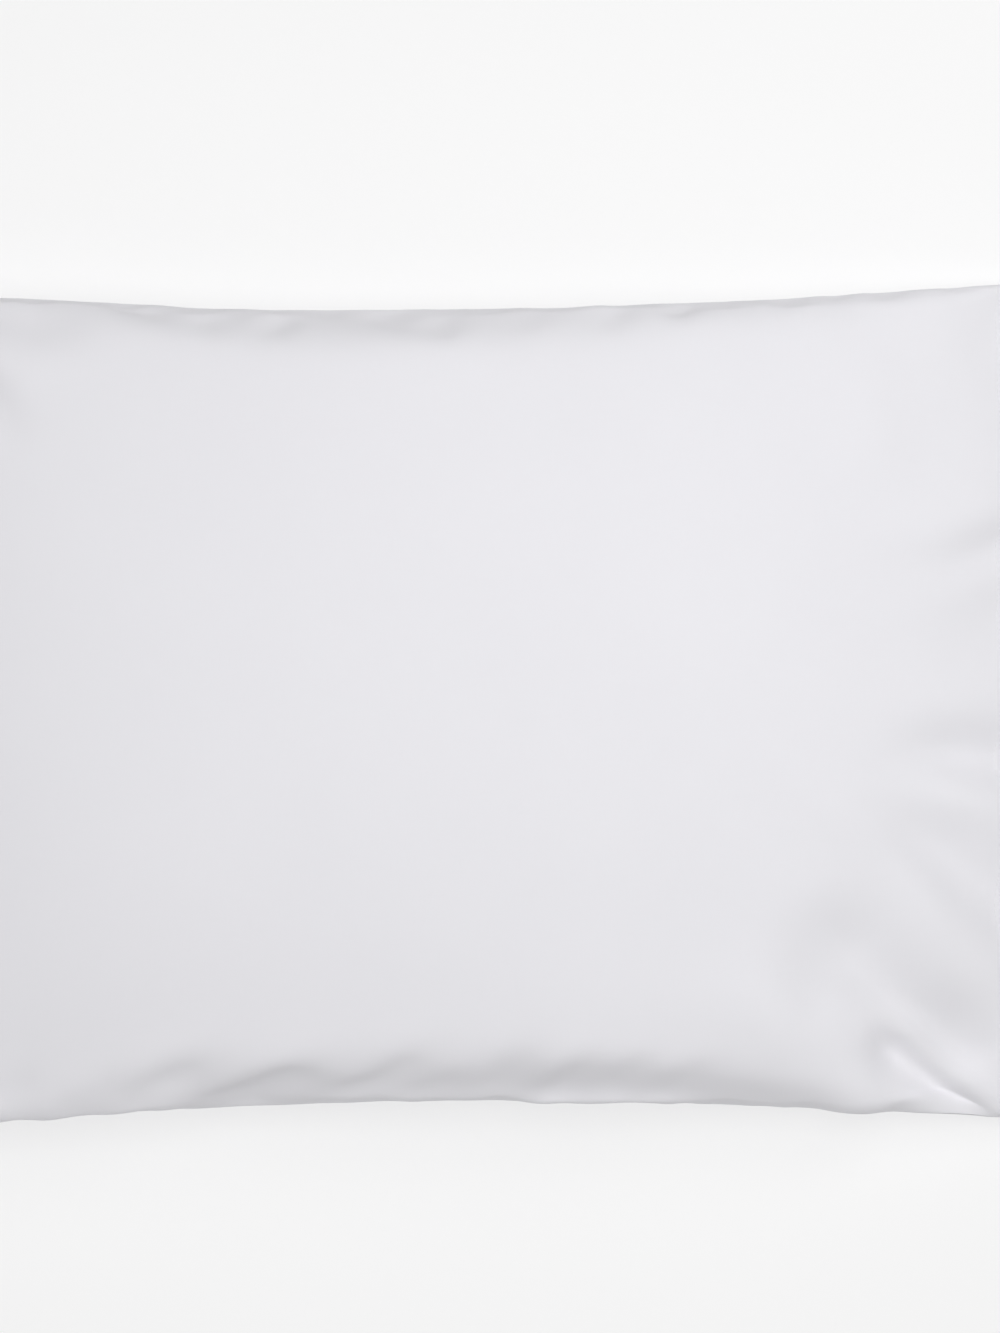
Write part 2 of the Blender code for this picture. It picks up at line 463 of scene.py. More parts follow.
@dataclass(frozen=True)
class Creasing:
    """Lays creases into the upper face."""

    creases: tuple[Crease, ...]
    shoulder: float = 0.30
    shoulder_spread: float = 2.0
    hold: int = 36
    path_steps: int = 8

    def smoothed(self, path: Path) -> Array:
        """Draws a smooth line through a path's points.

        Args:
            path: The points.

        Returns:
            More points on a curve through them.
        """
        places = np.array(path)
        ends = np.vstack([2 * places[0] - places[1], places, 2 * places[-1] - places[-2]])
        line = [places[0]]
        for before, start, end, after in zip(ends, ends[1:], ends[2:], ends[3:]):
            for step in range(1, self.path_steps + 1):
                t = step / self.path_steps
                line.append(
                    0.5 * (2 * start + (end - before) * t
                    + (2 * before - 5 * start + 4 * end - after) * t**2
                    + (3 * start - before - 3 * end + after) * t**3)
                )
        return np.array(line)

    def along_path(self, path: Array, x: Array, y: Array) -> tuple[Array, Array]:
        """Finds the nearest place of a path.

        Args:
            path: The path's points.
            x: Places in plan.
            y: Places in plan.

        Returns:
            The share of the path and the distance from it, above 0 on its left.
        """
        steps = np.diff(path, axis=0)
        lengths = np.linalg.norm(steps, axis=-1)
        starts = distances(path)
        nearest = np.full(x.shape, np.inf)
        share, side = np.zeros(x.shape), np.zeros(x.shape)
        for number, (step, length) in enumerate(zip(steps, lengths)):
            away_x, away_y = x - path[number][0], y - path[number][1]
            part = np.clip((away_x * step[0] + away_y * step[1]) / length**2, 0.0, 1.0)
            gap = np.hypot(away_x - part * step[0], away_y - part * step[1])
            left = np.sign(step[0] * away_y - step[1] * away_x)
            closer = gap < nearest
            nearest = np.where(closer, gap, nearest)
            share = np.where(closer, (starts[number] + part * length) / starts[-1], share)
            side = np.where(closer, gap * np.where(left == 0, 1.0, left), side)
        return share, side

    def depth(self, crease: Crease, x: Array, y: Array) -> Array:
        """Gives how far one crease lowers the cloth.

        Args:
            crease: The crease.
            x: Places in plan.
            y: Places in plan.

        Returns:
            The depth at each place.
        """
        share, side = self.along_path(self.smoothed(crease.path), x, y)
        start, end = crease.fades
        fading = smooth_step(1.0, 1.0 - end, share)
        if start > 0:
            fading = fading * smooth_step(0.0, start, share)
        width = crease.widths[0] + (crease.widths[1] - crease.widths[0]) * share
        spread = np.abs(side) / (width * (1 + crease.lean * np.sign(side)))
        trough = np.exp(-(spread**2))
        ridge = self.shoulder * np.exp(-((spread - self.shoulder_spread) ** 2))
        return crease.depth * fading * (trough - ridge)

    def lay(self, faces: ClothFaces, gain: float = 1.0) -> ClothFaces:
        """Lays the creases into the upper face.

        Args:
            faces: The case's faces.
            gain: How much of each crease to lay in.

        Returns:
            The creased faces.
        """
        at_end = np.where(faces.along < 0, 1 - np.abs(faces.along) ** self.hold, 1.0)
        held = faces.held(self.hold) * at_end
        x, y = faces.upper[..., 0], faces.upper[..., 1]
        total = sum(self.depth(crease, x, y) for crease in self.creases)
        lowered = (gain * held * total)[..., None] * grid_normals(faces.upper)
        return replace(faces, upper=faces.upper - lowered)


# ---- Filling the case ----


@dataclass(frozen=True)
class Filling:
    """Blows the flat cut up by cloth simulation, so that its seams pucker by themselves."""

    start_fill: float = 0.75
    start_draw_in: float = 0.5
    pressure: float = 2.0
    frames: int = 20
    mouth_hold: float = 0.35
    mouth_from: float = 0.86
    vertex_mass: float = 0.3
    stretch: float = 60.0
    shear: float = 20.0
    bending: float = 20.0
    quality: int = 7
    floor_reach: float = 1.5
    floor_gap: float = 0.001
    friction: float = 5.0

    def start(self, form: CaseForm, along: Array, across: Array) -> ClothFaces:
        """Makes the slacker case that the simulation starts from.

        Args:
            form: The filled form.
            along: Shares of the length.
            across: Shares of the width.

        Returns:
            The faces of the slack case, a little wider and flatter than the form.
        """
        faces = form.faces(along, across, self.start_fill)
        flat = self.flat(along, across)[..., :2]
        for grid in (faces.upper, faces.under):
            grid[..., :2] += (1 - self.start_draw_in) * (flat - grid[..., :2])
        return faces

    def run(self, faces: ClothFaces) -> ClothFaces:
        """Fills the case.

        Args:
            faces: The slack case.

        Returns:
            The faces as the simulation leaves them.
        """
        flat = self.flat(faces.along, faces.across)
        mesh = bpy.data.meshes.new("case_in_the_making")
        mesh.from_pydata(faces.listed().tolist(), [], faces.quads().tolist())
        case = add_object(mesh.name, mesh)
        case.shape_key_add(name="slack")
        cut = case.shape_key_add(name="cut")
        cut.data.foreach_set("co", replace(faces, upper=flat, under=flat).listed().ravel())
        cut.value = 0.0
        floor = self.add_floor()
        self.add_cloth(case, cut)
        self.hold_mouth(case, faces)
        for number in range(1, self.frames + 1):
            bpy.context.scene.frame_set(number)
        evaluated = case.evaluated_get(bpy.context.evaluated_depsgraph_get())
        points = np.empty(len(mesh.vertices) * 3, np.float32)
        evaluated.data.vertices.foreach_get("co", points)
        for made in (case, floor):
            bpy.data.objects.remove(made)
        bpy.context.scene.frame_set(1)
        return faces.moved_to(points.reshape(-1, 3).astype(float))

    def flat(self, along: Array, across: Array) -> Array:
        """Gives the places on the flat cut of one face."""
        return np.stack([along * CUT_LENGTH / 2, across * CUT_WIDTH / 2, 0 * along], -1)

    def add_floor(self) -> Object:
        """Adds the surface that the case rests on while it fills.

        Returns:
            The surface.
        """
        shape = bmesh.new()
        bmesh.ops.create_grid(shape, x_segments=1, y_segments=1, size=self.floor_reach)
        floor = add_shape("making_floor", shape)
        floor.location.z = -self.floor_gap / 2
        floor.modifiers.new("Collision", "COLLISION")
        set_all(floor.collision, thickness_outer=self.floor_gap, cloth_friction=self.friction)
        return floor

    def add_cloth(self, case: Object, cut: ShapeKey) -> None:
        """Gives the case its cloth settings.

        Args:
            case: The slack case.
            cut: The shape key that holds the flat cut, whose lengths the cloth keeps.
        """
        cloth = case.modifiers.new("Cloth", "CLOTH")
        set_all(
            cloth.settings,
            quality=self.quality,
            mass=self.vertex_mass,
            tension_stiffness=self.stretch,
            compression_stiffness=self.stretch,
            shear_stiffness=self.shear,
            bending_stiffness=self.bending,
            use_pressure=True,
            uniform_pressure_force=self.pressure,
            rest_shape_key=cut,
        )
        cloth.settings.effector_weights.gravity = 0.0
        set_all(cloth.collision_settings, distance_min=self.floor_gap, use_self_collision=False)
        set_all(cloth.point_cache, frame_start=1, frame_end=self.frames)

    def hold_mouth(self, case: Object, faces: ClothFaces) -> None:
        """Holds the open end loosely where it starts, as the flap does.

        Args:
            case: The object being simulated.
            faces: Its faces.
        """
        weights = self.mouth_hold * smooth_step(self.mouth_from, 1.0, faces.along)
        spread = replace(faces, upper=weights, under=weights)
        group = case.vertex_groups.new(name="mouth")
        for number, weight in enumerate(spread.listed()):
            if weight > 0:
                group.add([number], float(weight), "REPLACE")
        case.modifiers["Cloth"].settings.vertex_group_mass = group.name


@dataclass(frozen=True)
class Fitting:
    """Fits the simulated case to the form's outline and height, and sets it down."""

    evening_rounds: int = 5
    evening: Triple = (0.25, 0.5, 0.25)

    def fit(self, faces: ClothFaces, form: CaseForm) -> ClothFaces:
        """Scales the case onto the form.

        Args:
            faces: The simulated faces.
            form: The filled form.

        Returns:
            The faces with the form's width, length and height.
        """
        upper, under = faces.upper.copy(), faces.under.copy()
        ends = form.faces(faces.along, faces.across).upper
        middle = (upper[0, :, 0] + upper[-1, :, 0]).mean() / 2
        spans_y = self.even(upper[:, -1, 1] - upper[:, 0, 1])
        spans_x = self.even(upper[-1, :, 0] - upper[0, :, 0])
        widths = (ends[:, -1, 1] - ends[:, 0, 1]) / spans_y
        lengths = (ends[-1, :, 0] - ends[0, :, 0]) / spans_x
        lowest, top = under[..., 2].min(), upper[..., 2].max()
        for grid in (upper, under):
            grid[..., 0] = (grid[..., 0] - middle) * lengths[None, :]
            grid[..., 1] *= widths[:, None]
            grid[..., 2] = (grid[..., 2] - lowest) * form.height / (top - lowest)
        return replace(faces, upper=upper, under=under)

    def even(self, line: Array) -> Array:
        """Gives a line of measures without its small waves."""
        for _ in range(self.evening_rounds):
            line = np.convolve(np.pad(line, 1, mode="edge"), self.evening, "valid")
        return line


# ---- Seams and hem ----


@dataclass(frozen=True)
class SideFall:
    """The way the upper face falls from its shoulder to a side seam.

    Where the share is above 0 the shoulder stands fuller and the cloth below it
    hangs closer, which makes one long steep fall. Below 0 the fall is gentler. The
    share goes from the first to the second between two places along X, and fades out
    between the last two.
    """

    side: int
    shares: Pair
    change: Pair
    fade: Pair
    shoulder: float = 0.0065
    shoulder_place: float = 0.036
    shoulder_reaches: Pair = (0.026, 0.060)
    hang: float = 0.0065
    hang_place: float = 0.008
    hang_reach: float = 0.008
    hold: int = 60

    def reshape(self, faces: ClothFaces) -> ClothFaces:
        """Raises the shoulder and lowers the cloth below it.

        Args:
            faces: The case's faces.

        Returns:
            The reshaped faces.
        """
        upper = faces.upper.copy()
        x, y = upper[..., 0], upper[..., 1]
        seam = y[:, :1] if self.side < 0 else y[:, -1:]
        inside = self.side * (seam - y)
        first, second = self.shares
        share = first + (second - first) * smooth_step(*self.change, x)
        share = share * smooth_step(self.fade[1], self.fade[0], x)
        reach = np.where(inside < self.shoulder_place, *self.shoulder_reaches)
        raised = np.exp(-(((inside - self.shoulder_place) / reach) ** 2))
        lowered = np.exp(-(((inside - self.hang_place) / self.hang_reach) ** 2))
        held = faces.held(self.hold)
        upper[..., 2] += held * share * (self.shoulder * raised - self.hang * lowered)
        return replace(faces, upper=upper)


@dataclass(frozen=True)
class SeamGathers:
    """The short uneven gathers that sewing leaves along the two side seams."""

    pitch: float = 0.017
    unevenness: float = 0.55
    sizes: Pair = (0.25, 1.0)
    breadths: Pair = (0.30, 0.55)
    reach: float = 0.020
    depth: float = 0.0011
    seam_margin: float = 0.004
    seed: int = 7

    def waves(self, x: Array, rng: random.Random) -> Array:
        """Adds up gathers at uneven steps along a seam.

        Args:
            x: Places along the seam.
            rng: The source of the unevenness.

        Returns:
            The rise of the cloth at each place, about -1 to 1.
        """
        total = np.zeros_like(x)
        place, way = float(x.min()), 1.0
        while place < float(x.max()):
            size = way * rng.uniform(*self.sizes)
            breadth = self.pitch * rng.uniform(*self.breadths)
            total += size * np.exp(-(((x - place) / breadth) ** 2))
            place += self.pitch * (1 + self.unevenness * rng.uniform(-1.0, 1.0))
            way = -way
        return total

    def gather(self, faces: ClothFaces) -> ClothFaces:
        """Puckers both faces near the long sides.

        Args:
            faces: The case's faces.

        Returns:
            The faces with their gathers.
        """
        rng = random.Random(self.seed)
        grids = {Face.UPPER: faces.upper.copy(), Face.UNDER: faces.under.copy()}
        for face, grid in grids.items():
            normals = face.value * grid_normals(grid)
            for side in (-1, 1):
                away = (1 - side * faces.across) * CUT_WIDTH / 2
                near = np.exp(-((away / self.reach) ** 2))
                near = near * np.minimum(1, away / self.seam_margin)
                waves = self.waves(faces.along * CUT_LENGTH / 2, rng)
                grid += (self.depth * near * waves)[..., None] * normals
        return replace(faces, upper=grids[Face.UPPER], under=grids[Face.UNDER])


@dataclass(frozen=True)
class Hem:
    """The hem of the open end, lying over the flap that is folded into the case.

    A section of the mouth runs from the hem's outer edge, round its thickness,
    down the flap and out to the fold at the bottom. Each row gives how far in it
    lies, how high between the two faces, and how proud of the flap.
    """

    thickness: float = 0.0016
    depth: float = 0.045
    open_share: float = 0.93
    closing_power: int = 6
    most_share: float = 0.4
    step_share: float = 0.5
    step_span: Pair = (0.004, -0.001)
    stitch_depth: float = 0.0005
    stitch_spread: float = 0.0018
    hold: int = 30
    sections: tuple[Triple, ...] = (
        (0.0, 1.0, 1.0),
        (0.0, 1.0, 0.5),
        (0.0, 1.0, 0.0),
        (0.35, 1.0, 0.0),
        (0.70, 1.0, 0.0),
        (1.0, 0.98, 0.0),
        (0.96, 0.92, 0.0),
        (0.80, 0.80, 0.0),
        (0.66, 0.70, 0.0),
        (0.42, 0.50, 0.0),
        (0.22, 0.30, 0.0),
        (0.08, 0.12, 0.0),
        (0.02, 0.04, 0.0),
        (0.0, 0.0, 0.0),
    )

    def press(self, faces: ClothFaces) -> ClothFaces:
        """Draws the upper face in along the line of stitching.

        Args:
            faces: The case's faces.

        Returns:
            The faces with the stitching's groove.
        """
        upper = faces.upper.copy()
        away = (1 - faces.along) * CUT_LENGTH / 2 - HEM_WIDTH
        groove = self.stitch_depth * np.exp(-((away / self.stitch_spread) ** 2))
        step = self.step_share * self.thickness * smooth_step(*self.step_span, away)
        upper += (faces.held(self.hold) * (step - groove))[..., None] * grid_normals(upper)
        return replace(faces, upper=upper)

    def mouth(self, faces: ClothFaces) -> Array:
        """Makes the mouth's points.

        Args:
            faces: The case's faces.

        Returns:
            A grid of points: one row for each section row, one column across.
        """
        count = faces.across.shape[1]
        grid = np.empty((len(self.sections), count, 3))
        for number in range(count):
            across = abs(faces.across[0, number]) / self.open_share
            closing = max(0.0, 1.0 - across**self.closing_power)
            along = faces.along[:, number]
            for row, (inset, level, proud) in enumerate(self.sections):
                share = 1 - inset * closing * self.depth / (CUT_LENGTH / 2)
                high = read_line(share, along, faces.upper[:, number])
                low = read_line(share, along, faces.under[:, number])
                hem = min(self.thickness, self.most_share * (high[2] - low[2]))
                point = low + (high - low) * level
                point[2] = low[2] + (high[2] - low[2] - hem) * level + hem * proud
                grid[row, number] = point
        return grid


# ---- Finishes ----

# Places of a colour mix's sockets, because several of them share a name.
MIX_SHARE, MIX_FIRST, MIX_SECOND, MIX_RESULT = 0, 6, 7, 2


class NodeMaker:
    """Places shader nodes in a tree and joins them."""

    COLUMN_WIDTH = 220

    def __init__(self, tree: NodeTree) -> None:
        """Takes the tree to work in."""
        self.tree = tree

    def add(self, kind: str, label: str, inputs: dict[str | int, object], **values: object) -> Node:
        """Adds a node.

        Args:
            kind: The node's type.
            label: The node's label.
            inputs: What its inputs hold, or the outputs that they are joined to.
            **values: Its properties.

        Returns:
            The node.
        """
        column = len(self.tree.nodes)
        node = self.tree.nodes.new(kind)
        set_all(node, label=label, location=(self.COLUMN_WIDTH * column, 0), **values)
        for name, source in inputs.items():
            if isinstance(source, NodeSocket):
                self.tree.links.new(source, node.inputs[name])
            else:
                node.inputs[name].default_value = source
        return node

    def math(self, operation: str, label: str, *terms: object) -> NodeSocket:
        """Adds a sum of numbers and outputs, and gives its result."""
        terms_by_place = dict(enumerate(terms))
        return self.add("ShaderNodeMath", label, terms_by_place, operation=operation).outputs[0]


class NodeGroupMaker(NodeMaker):
    """Makes a shader node group with named inputs and outputs."""

    def __init__(self, name: str) -> None:
        """Starts an empty group."""
        super().__init__(bpy.data.node_groups.new(name, "ShaderNodeTree"))
        self.way_in = self.add("NodeGroupInput", "in", {})
        self.way_out = self.add("NodeGroupOutput", "out", {})

    def take(self, name: str, value: float | None = None) -> NodeSocket:
        """Adds an input and gives the socket that brings it in.

        Args:
            name: The input's name.
            value: The number that it holds at first, or nothing for a place.

        Returns:
            The socket inside the group.
        """
        kind = "NodeSocketVector" if value is None else "NodeSocketFloat"
        socket = self.tree.interface.new_socket(name, in_out="INPUT", socket_type=kind)
        if value is not None:
            socket.default_value = value
        return self.way_in.outputs[name]

    def give(self, name: str, source: NodeSocket) -> None:
        """Adds a number as an output and joins its source to it."""
        self.tree.interface.new_socket(name, in_out="OUTPUT", socket_type="NodeSocketFloat")
        self.tree.links.new(source, self.way_out.inputs[name])


def make_weave_group() -> NodeTree:
    """Makes the plain weave: warp and weft over and under each other, with slubs.

    Returns:
        The group. Its height is 0 to 1 or so.
    """
    relief = 0.25
    slub_spans = {"warp slubs": (60.0, 2600.0, 1.0), "weft slubs": (2600.0, 60.0, 1.0)}
    maker = NodeGroupMaker("plain weave")
    place = maker.take("Place")
    pitch = maker.take("Threads per metre", 3000.0)
    slub = maker.take("Slub", 0.4)
    parts = maker.add("ShaderNodeSeparateXYZ", "along and across", {0: place}).outputs
    turns = maker.math("MULTIPLY", "half turns", pitch, math.pi)
    threads = []
    for name, axis in (("warp", "X"), ("weft", "Y")):
        turn = maker.math("MULTIPLY", f"{name} turn", parts[axis], turns)
        threads.append(maker.math("SINE", name, turn))
    crossing = maker.math("MULTIPLY", "over and under", *threads)
    slubs = []
    for name, span in slub_spans.items():
        spread = maker.add("ShaderNodeMapping", name, {"Vector": place, "Scale": span}).outputs[0]
        sockets = {"Vector": spread, "Scale": 1.0, "Detail": 2.0}
        slubs.append(maker.add("ShaderNodeTexNoise", name, sockets).outputs["Fac"])
    thick = maker.math("ADD", "all slubs", *slubs)
    uneven = maker.math("MULTIPLY", "slubs' share", thick, slub)
    maker.give("Height", maker.math("MULTIPLY_ADD", "cloth height", crossing, relief, uneven))
    maker.give("Threads", thick)
    return maker.tree


def make_mottle_group() -> NodeTree:
    """Makes a soft uneven mask, for small changes of tone and roughness.

    Returns:
        The group. Its mask is 0 to 1 about a middle of one half.
    """
    maker = NodeGroupMaker("soft mottle")
    sockets = {
        "Vector": maker.take("Place"),
        "Scale": maker.take("Patches per metre", 12.0),
        "Roughness": maker.take("Evenness", 0.5),
        "Detail": 3.0,
    }
    patches = maker.add("ShaderNodeTexNoise", "broad patches", sockets)
    maker.give("Mask", patches.outputs["Fac"])
    return maker.tree


@dataclass(frozen=True)
class SharedEffects:
    """The node groups that the finishes share."""

    weave: NodeTree
    mottle: NodeTree

    @classmethod
    def make(cls) -> "SharedEffects":
        """Makes each group once."""
        return cls(make_weave_group(), make_mottle_group())


class MaterialMaker(NodeMaker):
    """Makes a mottled material with one surface shader."""

    def __init__(self, name: str) -> None:
        """Starts the material with no nodes."""
        self.material = bpy.data.materials.new(name)
        self.material.use_nodes = True
        super().__init__(self.material.node_tree)
        self.tree.nodes.clear()

    def mottle(self, group: NodeTree, place: NodeSocket, patches: float) -> NodeSocket:
        """Adds the shared mottle.

        Args:
            group: The mottle's node group.
            place: The output that holds the place.
            patches: How many patches a metre it has.

        Returns:
            The mask.
        """
        sockets = {"Place": place, "Patches per metre": patches}
        return self.add("ShaderNodeGroup", "mottle", sockets, node_tree=group).outputs["Mask"]

    def finish(self, label: str, mask: NodeSocket, roughness: Pair, **sockets: object) -> Material:
        """Adds the surface shader and the output.

        Args:
            label: The surface's label.
            mask: What the roughness changes with.
            roughness: Its middle value and the span of its change.
            **sockets: What the shader's other inputs hold, with _ for a space.

        Returns:
            The material.
        """
        middle, change = roughness
        inputs = {name.replace("_", " "): value for name, value in sockets.items()}
        least = middle - change / 2
        inputs["Roughness"] = self.math("MULTIPLY_ADD", "roughness", mask, change, least)
        surface = self.add("ShaderNodeBsdfPrincipled", label, inputs)
        self.add("ShaderNodeOutputMaterial", "output", {"Surface": surface.outputs["BSDF"]})
        return self.material


@dataclass(frozen=True)
class ClothFinish:
    """A woven or spun cotton surface. The last two fields share out its tone."""

    name: str
    light: Triple
    dark: Triple
    roughness: Pair
    sheen: float
    threads: float
    slub: float
    bump: float
    bump_height: float
    patches: float
    thread_share: float = 0.35
    patch_share: float = 0.65

    def make(self, effects: SharedEffects, uv_name: str) -> Material:
        """Makes the material.

        Args:
            effects: The shared node groups.
            uv_name: The UV map, in metres, that the weave follows.

        Returns:
            The material.
        """
        maker = MaterialMaker(self.name)
        uv_map = maker.add("ShaderNodeUVMap", "place on the cloth", {}, uv_map=uv_name)
        place = uv_map.outputs["UV"]
        sockets = {"Place": place, "Threads per metre": self.threads, "Slub": self.slub}
        weave = maker.add("ShaderNodeGroup", "weave", sockets, node_tree=effects.weave).outputs
        mask = maker.mottle(effects.mottle, place, self.patches)
        threads = maker.math("MULTIPLY", "thread tone", weave["Threads"], self.thread_share)
        tone = maker.math("MULTIPLY_ADD", "tone", mask, self.patch_share, threads)
        sockets = {MIX_SHARE: tone, MIX_FIRST: (*self.dark, 1.0), MIX_SECOND: (*self.light, 1.0)}
        colour = maker.add("ShaderNodeMix", "cloth colour", sockets, data_type="RGBA")
        sockets = {"Strength": self.bump, "Distance": self.bump_height, "Height": weave["Height"]}
        bump = maker.add("ShaderNodeBump", "weave bump", sockets)
        return maker.finish(
            "cotton",
            mask,
            self.roughness,
            Base_Color=colour.outputs[MIX_RESULT],
            Specular_IOR_Level=0.25,
            Sheen_Weight=self.sheen,
            Sheen_Roughness=0.6,
            Normal=bump.outputs["Normal"],
        )


CASE_COTTON = ClothFinish(
    name="white_percale",
    light=(0.885, 0.878, 0.912),
    dark=(0.845, 0.838, 0.874),
    roughness=(0.86, 0.08),
    sheen=0.05,
    threads=3000.0,
    slub=0.35,
    bump=0.22,
    bump_height=0.00012,
    patches=9.0,
)
HEM_THREAD = ClothFinish(
    name="white_sewing_thread",
    light=(0.86, 0.855, 0.885),
    dark=(0.78, 0.775, 0.805),
    roughness=(0.7, 0.1),
    sheen=0.1,
    threads=4000.0,
    slub=0.5,
    bump=0.3,
    bump_height=0.00006,
    patches=300.0,
)


@dataclass(frozen=True)
class FloorFinish:
    """The pale floor. It gives off some light, so that shadows on it stay faint."""

    name: str = "pale_floor"
    colour: Triple = (0.42, 0.42, 0.42)
    glow: float = 0.54
    roughness: Pair = (0.95, 0.04)
    patches: float = 2.0

    def make(self, effects: SharedEffects) -> Material:
        """Makes the material.

        Args:
            effects: The shared node groups.

        Returns:
            The material.
        """
        maker = MaterialMaker(self.name)
        place = maker.add("ShaderNodeTexCoord", "place on the floor", {}).outputs["Object"]
        return maker.finish(
            "floor",
            maker.mottle(effects.mottle, place, self.patches),
            self.roughness,
            Base_Color=(*self.colour, 1.0),
            Specular_IOR_Level=0.0,
            Emission_Color=(1.0, 1.0, 1.0, 1.0),
            Emission_Strength=self.glow,
        )


# ---- The case ----


@dataclass(frozen=True)
class PillowCase:
    """The filled case as one piece of cloth."""

    form: CaseForm
    filling: Filling = Filling()
    fitting: Fitting = Fitting()
    started: Creasing = Creasing(SIDE_PUCKERS)
    start_gain: float = 0.6
    creasing: Creasing = Creasing(CREASES + SIDE_PUCKERS)
    falls: tuple[SideFall, ...] = (
        SideFall(-1, (-0.15, 1.0), (-0.06, 0.09), (0.15, 0.27)),
        SideFall(1, (0.25, 0.0), (-0.10, 0.10), (0.20, 0.30)),
    )
    gathers: SeamGathers = SeamGathers()
    hem: Hem = Hem()
    uv_name: str = "cloth"
    under_shift: float = 0.6
    weld: float = 0.00002
    name: str = "case_cloth"

    def shape(self) -> ClothFaces:
        """Makes the two faces.

        Returns:
            The filled, creased and gathered faces.
        """
        across, along = np.meshgrid(stations(WIDTH_CELLS), stations(LENGTH_CELLS))
        slack = self.filling.start(self.form, along, across)
        faces = self.filling.run(self.started.lay(slack, self.start_gain))
        faces = self.fitting.fit(faces, self.form)
        for fall in self.falls:
            faces = fall.reshape(faces)
        faces = self.creasing.lay(faces)
        faces = self.gathers.gather(faces)
        return self.hem.press(faces)

    def build(self) -> Object:
        """Builds the case's mesh.

        Returns:
            The object, with its UV map in metres.
        """
        faces = self.shape()
        mouth = self.hem.mouth(faces)
        upper_places = self.cut_places(faces)
        grids = (
            (faces.upper, upper_places, False),
            (faces.under, upper_places + (0.0, self.under_shift), True),
            (mouth, self.mouth_places(faces, mouth), False),
        )
        shape = bmesh.new()
        shape.loops.layers.uv.new(self.uv_name)
        for points, places, turned in grids:
            add_grid(shape, points, places, turned)
        bmesh.ops.remove_doubles(shape, verts=shape.verts, dist=self.weld)
        case = add_shape(self.name, shape)
        self.subdivide(case)
        self.set_down(case.data)
        return case

    def cut_places(self, faces: ClothFaces) -> Array:
        """Gives the places on the flat cut, in metres, for the UV map."""
        u, v = (1 + faces.along) * CUT_LENGTH / 2, (1 + faces.across) * CUT_WIDTH / 2
        return np.stack([u, v], axis=-1)

    def mouth_places(self, faces: ClothFaces, mouth: Array) -> Array:
        """Gives the mouth's places on the cut, running on from the hem.

        Args:
            faces: The case's faces.
            mouth: The mouth's points.

        Returns:
            A place for each point.
        """
        run = distances(mouth[:, mouth.shape[1] // 2]) + CUT_LENGTH
        v = (1 + faces.across[0]) * CUT_WIDTH / 2
        return np.stack(np.broadcast_arrays(run[:, None], v[None, :]), axis=-1)

    def subdivide(self, case: Object) -> None:
        """Rounds the mesh with one subdivision, and applies it."""
        rounding = case.modifiers.new("rounding", "SUBSURF")
        set_all(rounding, levels=1, render_levels=1)
        evaluated = case.evaluated_get(bpy.context.evaluated_depsgraph_get())
        case.data = bpy.data.meshes.new_from_object(evaluated)
        case.modifiers.clear()

    def set_down(self, mesh: Mesh) -> None:
        """Lifts or lowers the mesh so that its lowest point is on the floor."""
        lowest = min(vertex.co.z for vertex in mesh.vertices)
        mesh.transform(Matrix.Translation((0, 0, -lowest)))

    def dress(self, case: Object, material: Material) -> None:
        case.data.materials.clear()
        case.data.materials.append(material)
        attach(case, BODY)
        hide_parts(NODE)


class StitchLine(NamedTuple):
    """Points of the hem's line, their normals, and how far along it each one is."""

    places: Array
    normals: Array
    run: Array


